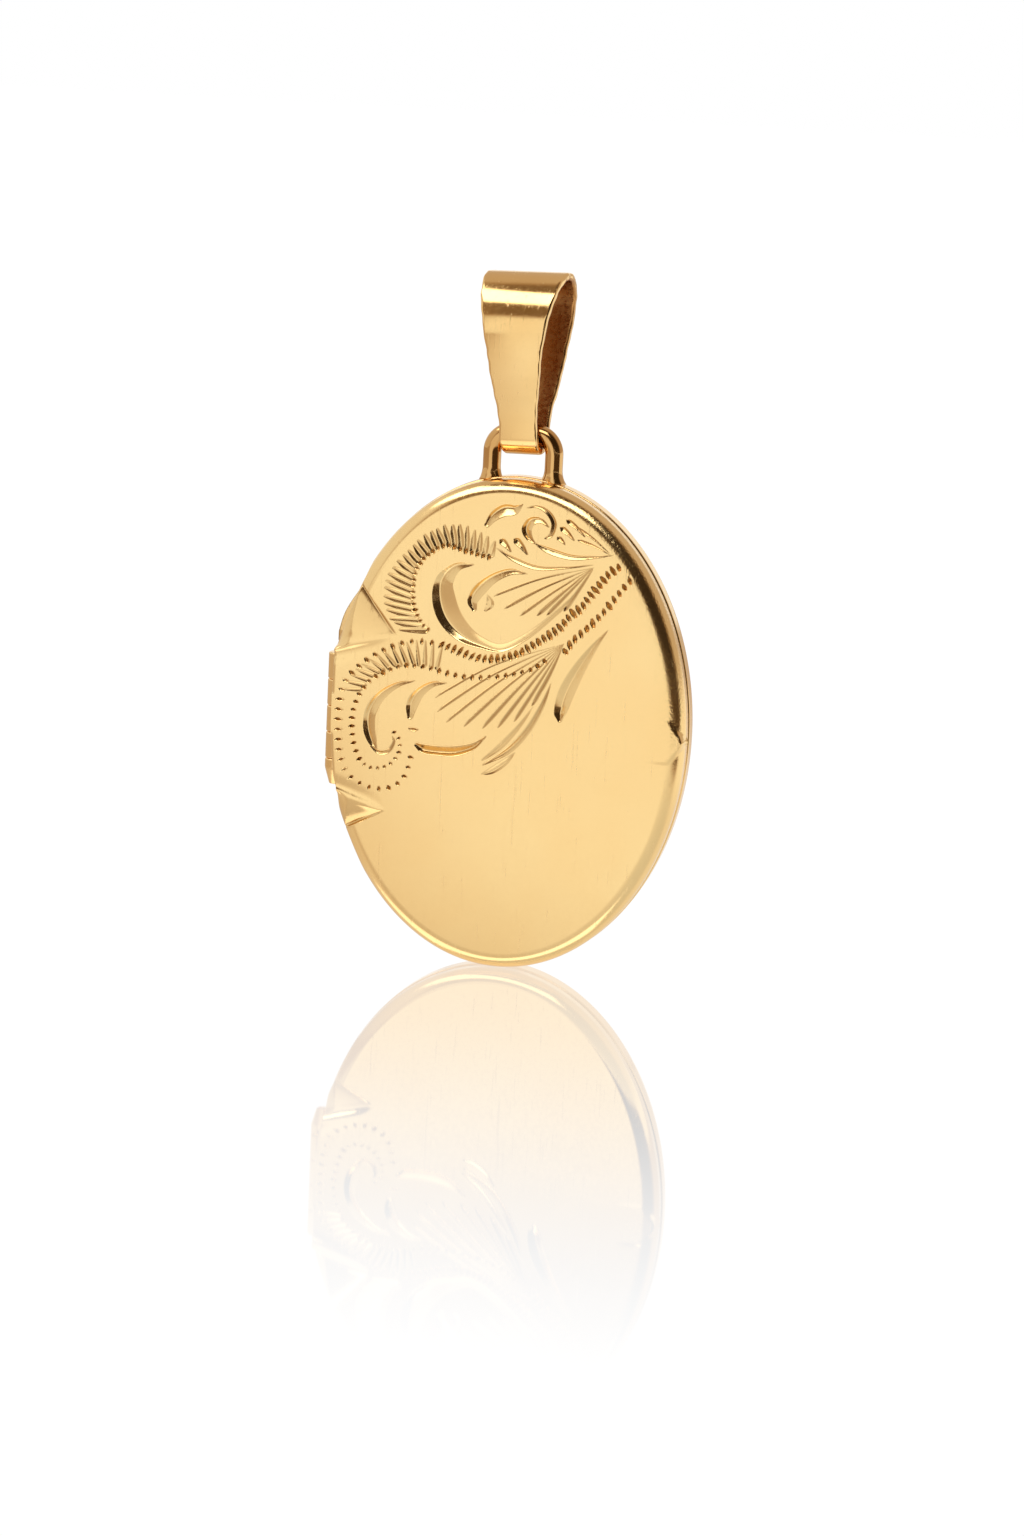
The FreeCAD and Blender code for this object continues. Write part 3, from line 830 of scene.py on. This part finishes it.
def colour_mix(factor, first, second):
    """A colour between two, each given as a tuple or as a socket."""
    nodes, links = tree_of(factor)
    node = nodes.new("ShaderNodeMix")
    node.data_type = "RGBA"
    for name, colour in (("A", first), ("B", second)):
        if isinstance(colour, tuple):
            node.inputs[name].default_value = (*colour, 1)
        else:
            links.new(colour, node.inputs[name])
    links.new(factor, node.inputs["Factor"])
    return node.outputs["Result"]


def bump(height, distance, strength, under=None):
    """A bump, over the one under it if there is one."""
    nodes, links = tree_of(height)
    node = nodes.new("ShaderNodeBump")
    node.inputs["Strength"].default_value = strength
    node.inputs["Distance"].default_value = distance
    links.new(height, node.inputs["Height"])
    if under is not None:
        links.new(under, node.inputs["Normal"])
    return node.outputs["Normal"]


def gold(name, colour, deep, roughness, wear, brushed=0.0, shaded_and_worn=False):
    """Yellow gold: slow waves, fine hairline scratches and a slight drift of colour.
    When asked, it also shows the painted shade and the worn rim that its mesh is marked with."""
    nodes, links, shader, material = new_material(name)
    place = object_place(nodes)
    shader.inputs["Metallic"].default_value = 1.0
    drift = noise(place, 160, (1, 1, 1), (0, 0, 0.3))
    tone = colour_mix(ramp(drift, 0.35, 0.7), colour, deep)
    if shaded_and_worn:
        # painted shade: marked cuts and pleat facets turn dark brown
        tone = colour_mix(marked(nodes, "painted_shade"), tone, (0.36, 0.17, 0.045))
    links.new(tone, shader.inputs["Base Color"])
    hair = None
    for i, angle in enumerate((0.5, -0.8, 1.3)):
        line = noise(place, 6500 + 900 * i, (1, 1, 0.03), (0.1 * i, angle, 0.2), 2)
        line = ramp(line, 0.67, 0.73)
        hair = line if hair is None else maths("MAXIMUM", hair, line)
    grain = noise(place, 5200, (1, 1, 1), (0, 0, 0), 1)
    rough = ramp(grain, 0.3, 0.75, roughness * 0.75, roughness * 1.3)
    scratched = maths("MULTIPLY", hair, 0.12 * wear)
    links.new(maths("ADD", rough, scratched), shader.inputs["Roughness"])
    waves = noise(place, 330, (1, 1, 1), (0.4, 0, 0), 1)
    skin = bump(waves, 0.02 * MM, 0.5)
    skin = bump(hair, 0.0025 * MM, 0.5 * wear, skin)
    if shaded_and_worn:
        speck = noise(place, 11000, (1, 1, 1), (0, 0, 0), 2)
        worn = maths("MULTIPLY", speck, marked(nodes, "rim"))
        skin = bump(worn, 0.012 * MM, 1.0, skin)
    if brushed:
        lines = noise(place, 7000, (1, 1, 0.03), (0, 0, 0), 2)
        skin = bump(lines, 0.003 * MM, brushed, skin)
    links.new(skin, shader.inputs["Normal"])
    return material


def paper(name):
    """Plain photographic paper, matt, a little mottled."""
    nodes, links, shader, material = new_material(name)
    place = object_place(nodes)
    mottle = ramp(noise(place, 260, (1, 1, 1), (0, 0, 0), 3), 0.35, 0.7)
    tone = colour_mix(mottle, (0.93, 0.88, 0.78), (0.86, 0.8, 0.68))
    links.new(tone, shader.inputs["Base Color"])
    fibre = noise(place, 6000, (1, 1, 0.4), (0, 0.4, 0), 3)
    links.new(bump(fibre, 0.008 * MM, 0.4), shader.inputs["Normal"])
    links.new(ramp(fibre, 0.3, 0.7, 0.5, 0.65), shader.inputs["Roughness"])
    return material


def clear_plastic(name):
    nodes, links, shader, material = new_material(name)
    shader.inputs["Base Color"].default_value = (0.98, 0.985, 0.98, 1)
    shader.inputs["Transmission Weight"].default_value = 1.0
    shader.inputs["IOR"].default_value = 1.46
    haze = noise(object_place(nodes), 500, (1, 1, 0.5), (0, 0.6, 0), 3)
    links.new(ramp(haze, 0.4, 0.8, 0.02, 0.12), shader.inputs["Roughness"])
    return material


engraved_gold = gold("engraved_gold", (0.965, 0.69, 0.315), (0.95, 0.655, 0.285), 0.15, 1.0,
                     shaded_and_worn=True)
polished_gold = gold("polished_gold", (0.96, 0.67, 0.30), (0.93, 0.61, 0.255), 0.13, 0.9)
bail_gold = gold("bail_gold", (0.96, 0.675, 0.305), (0.88, 0.565, 0.22), 0.12, 1.2, 0.15)
# painted shade: the wire's deep tone darkens it to brown in broad patches
loop_shade_gold = gold("loop_shade_gold", (0.92, 0.6, 0.25), (0.56, 0.29, 0.09), 0.09, 0.8)
# painted shade: the folded strip's inside, where shade falls, made dark brown
bail_inside_shade_gold = gold("bail_inside_shade_gold", (0.52, 0.265, 0.09), (0.47, 0.23, 0.075), 0.3, 0.1)
inner_gold = gold("inner_gold", (0.88, 0.62, 0.29), (0.84, 0.56, 0.24), 0.24, 0.6, 0.4)
window_plastic = clear_plastic("window_plastic")
photo_paper = paper("photo_paper")

# ---- the pieces ----
def mark(piece, name, values):
    """Gives each point of the piece's mesh a value under this name."""
    piece.data.attributes.new(name, "FLOAT", "POINT").data.foreach_set("value", values)


points, faces, painted_shade = shell(front_edge, front_top_edge, beak_underside, front_skin, front,
                             True, 430, 600)
cover = make_mesh("front_cover_engraved", points, faces, "front_half", "front_cover",
                  engraved_gold)
# the front cover's points carry the painted shade of its cuts and pleats
mark(cover, "painted_shade", np.concatenate([painted_shade, np.zeros(len(points) - len(painted_shade))]))
flat_x, flat_h = points[:, 0], points[:, 2]
inset = ellipse_inset(flat_x, flat_h, half_width - front_step, half_height - front_step)
worn = smooth_step(2.4, 0.7, inset) * smooth_step(1.0, 6.0, flat_x) * smooth_step(-3.0, 2.0, flat_h)
mark(cover, "rim", worn)
points, faces, _ = shell(back_edge, back_top_edge, swell_underside, back_skin, back,
                         False, 150, 210)
make_mesh("back_cover_pressed", points, faces, "back_half", "back_cover",
          polished_gold)

rings = bail_rings()
points, faces = loft(rings)
strip = make_mesh("bail_strip", hung(points), faces, "bail", "bail", bail_gold)
fix_normals(strip)
# the strip's inner faces take that dark painted shade
strip.data.materials.append(bail_inside_shade_gold)
section_size = len(rings[0])
inner_start, inner_end = round(section_size * 0.52), round(section_size * 0.98)
for face in strip.data.polygons:
    if inner_start <= min(v % section_size for v in face.vertices) < inner_end:
        face.material_index = 1
points, faces = loft(loop_rings(), caps=True)
fix_normals(make_mesh("bail_loop_wire", points, faces, "back_half", "bail_loop",
                      loop_shade_gold))

knuckles = (("back_knuckle_bottom", "back_half"), ("front_knuckle_lower", "front_half"),
            ("back_knuckle_middle", "back_half"), ("front_knuckle_upper", "front_half"),
            ("back_knuckle_top", "back_half"))
pitch = hinge_length / knuckle_count
for index, (node, body) in enumerate(knuckles):
    low = (index - knuckle_count / 2) * pitch + knuckle_gap / 2
    high = low + pitch - knuckle_gap
    bore = pin_radius + (pin_clearance if body == "front_half" else 0.0)
    filed = knuckle_filed if index == 0 else 0.0
    tube = rounded_corners(((bore, low), (knuckle_radius - filed, low),
                            (knuckle_radius, low + filed * 3 + 0.1), (knuckle_radius, high),
                            (bore, high)), 0.09, 6)
    points, faces = lathe(tube, 72)
    fix_normals(make_mesh(node + "_turned", points, faces, body, node,
                          polished_gold))
pin_end = hinge_length / 2 - knuckle_gap / 2
pin = [(0.0005, -pin_end)]
pin += [(pin_radius * math.sin(a), -pin_end + 0.08 * (1 - math.cos(a))) for a in (0.5, 1.0, 1.57)]
pin += [(r, -h) for r, h in reversed(pin)]
points, faces = lathe(pin, 40)
fix_normals(make_mesh("hinge_pin_turned", points, faces, "back_half", "hinge_pin",
                      polished_gold))

frame_outline = rounded_corners((
    (flange_reach, frame_low), (flange_reach, plate_low), (0.0, plate_low), (0.0, frame_high),
    (-frame_wall, frame_high), (-frame_wall, frame_low + frame_lip),
    (-frame_lap, frame_low + frame_lip), (-frame_lap, frame_low)), 0.05, 4)
sheet_reach = -frame_wall - 0.03
window_low = frame_low + frame_lip + 0.005
window_high = window_low + 0.11
photo_low = window_high + 0.015
photo_high = photo_low + 0.105
for half, place in (("front", front), ("back", back)):
    body = half + "_half"
    points, faces = opening_ring(frame_outline, place)
    fix_normals(make_mesh(half + "_photo_frame_formed", points, faces, body,
                          half + "_photo_frame", inner_gold))
    points, faces = opening_slab(sheet_reach, window_low, window_high, place)
    fix_normals(make_mesh(half + "_window_sheet", points, faces, body, half + "_window",
                          window_plastic))
    points, faces = opening_slab(sheet_reach, photo_low, photo_high, place)
    fix_normals(make_mesh(half + "_photo_print", points, faces, body, half + "_photo",
                          photo_paper))

for node in ("front_seat_plate", "back_seat_plate", "snap_lip"):
    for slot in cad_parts[node].material_slots:
        slot.material = inner_gold

# ---- floor: pale, with a polish that mirrors near the locket ----
# Stretches of it ahead to the right and on the left give the locket less light, and warmer.
scene = bpy.context.scene
floor_mesh = bpy.data.meshes.new("floor")
floor_z = -half_height * MM
reach = 1.2
floor_mesh.from_pydata([(-reach, -reach, floor_z), (reach, -reach, floor_z),
                        (reach, reach, floor_z), (-reach, reach, floor_z)], [], [(0, 1, 2, 3)])
floor = bpy.data.objects.new("floor", floor_mesh)
bpy.context.collection.objects.link(floor)
nodes, links, shader, material = new_material("pale_floor")
shader.inputs["Base Color"].default_value = (0, 0, 0, 1)
shader.inputs["Specular IOR Level"].default_value = 0.0
polish = nodes.new("ShaderNodeBsdfGlossy")
polish.inputs["Color"].default_value = (1, 1, 1, 1)
polish.inputs["Roughness"].default_value = 0.03
place = nodes.new("ShaderNodeSeparateXYZ")
links.new(object_place(nodes), place.inputs["Vector"])
east, north = place.outputs["X"], place.outputs["Y"]
far_right = soft(east, 0.03, 0.055)
ahead_side = soft(north, 0.0, -0.018)
unlit = maths("MULTIPLY", far_right, ahead_side)
unseen = maths("SUBTRACT", 1.0, nodes.new("ShaderNodeLightPath").outputs["Is Camera Ray"])
slant = maths("ADD", east, maths("MULTIPLY", north, -0.5))
far_left = maths("MULTIPLY", soft(slant, 0.015, -0.03), 0.45)
unlit = maths("MULTIPLY", maths("MAXIMUM", unlit, far_left), unseen)
links.new(ramp(unlit, 0, 1, 1.03, 0.08), shader.inputs["Emission Strength"])
links.new(colour_mix(unlit, (1, 1, 1), (1, 0.62, 0.32)), shader.inputs["Emission Color"])
share = maths("MULTIPLY", soft(north, -0.068, 0.0, 0.57), ramp(north, 0.02, 0.06, 1, 0))
share = maths("MULTIPLY", share, ramp(unseen, 0, 1, 1, 0.55))
aside = maths("ADD", east, maths("MULTIPLY", north, math.tan(0.2)))
aside = maths("ABSOLUTE", aside, 0.0)
share = maths("MULTIPLY", share, soft(aside, 0.045, 0.02))
blend = nodes.new("ShaderNodeMixShader")
links.new(share, blend.inputs["Fac"])
links.new(shader.outputs["BSDF"], blend.inputs[1])
links.new(polish.outputs["BSDF"], blend.inputs[2])
links.new(blend.outputs["Shader"], nodes["Material Output"].inputs["Surface"])
floor_mesh.materials.append(material)

# ---- camera direction ----
azimuth, elevation, roll = (math.radians(angle) for angle in (12.38, 11.05, 2.71))

# ---- light: a dim room with a white backdrop, a white side and a soft box above ----
world = bpy.data.worlds.new("studio")
scene.world = world
world.use_nodes = True
nodes, links = world.node_tree.nodes, world.node_tree.links
background = nodes["Background"]
split = nodes.new("ShaderNodeSeparateXYZ")
links.new(nodes.new("ShaderNodeTexCoord").outputs["Generated"], split.inputs["Vector"])
east, north, up = split.outputs["X"], split.outputs["Y"], split.outputs["Z"]


def lit(level, value, *masks):
    """Where all the masks are 1, the room's level becomes value."""
    mask = masks[0]
    for other in masks[1:]:
        mask = maths("MULTIPLY", mask, other)
    node = nodes.new("ShaderNodeMix")
    node.inputs["B"].default_value = value
    links.new(mask, node.inputs["Factor"])
    if isinstance(level, float):
        node.inputs["A"].default_value = level
    else:
        links.new(level, node.inputs["A"])
    return node.outputs["Result"]


ahead = maths("ADD", maths("MULTIPLY", east, -math.sin(azimuth)),
              maths("MULTIPLY", north, math.cos(azimuth)))
# the dim room, lighter behind the locket, then its white side and its dark corner
level = lit(0.22, 0.6, soft(north, -0.1, 0.2))
level = lit(level, 0.85, soft(east, -0.45, -0.75))
level = lit(level, 0.04, soft(east, 0.08, 0.3), soft(north, 0.05, -0.3))
# a low white screen in front, the backdrop and the soft box above
level = lit(level, 1.05, soft(north, -0.74, -0.86), soft(up, 0.36, 0.28), soft(east, 0.22, 0.02))
level = lit(level, 1.0, soft(ahead, 0.82, 0.9), soft(up, 0.42, 0.36))
level = lit(level, 3.2, soft(up, 0.62, 0.67), soft(up, 0.9, 0.86), soft(north, 0.1, -0.05),
            soft(east, 0.45, 0.35))
# all that lies below the horizon, and plain white wherever the camera sees the room
level = lit(level, 1.0, soft(up, 0.01, -0.02))
level = lit(level, 1.0, nodes.new("ShaderNodeLightPath").outputs["Is Camera Ray"])
links.new(level, background.inputs["Strength"])
links.new(colour_mix(soft(level, 0.2, 1.0), (1.0, 0.66, 0.4), (1, 1, 1)),
          background.inputs["Color"])

# ---- camera, at the photograph's angle ----
distance = 0.2012
target = Vector((0, -half_depth, 0)) * MM
away = Vector((math.sin(azimuth) * math.cos(elevation),
               -math.cos(azimuth) * math.cos(elevation), math.sin(elevation)))
camera = bpy.data.objects.new("camera", bpy.data.cameras.new("camera"))
bpy.context.collection.objects.link(camera)
camera.data.lens = 90.2
camera.data.shift_x = 0.0023
camera.data.shift_y = -0.029
camera.data.clip_start = 0.005
camera.location = target + away * distance
camera.rotation_mode = "QUATERNION"
camera.rotation_quaternion = ((-away).to_track_quat("-Z", "Y").to_matrix()
                              @ Matrix.Rotation(roll, 3, "Z")).to_quaternion()
scene.camera = camera
scene.view_settings.view_transform = "Standard"
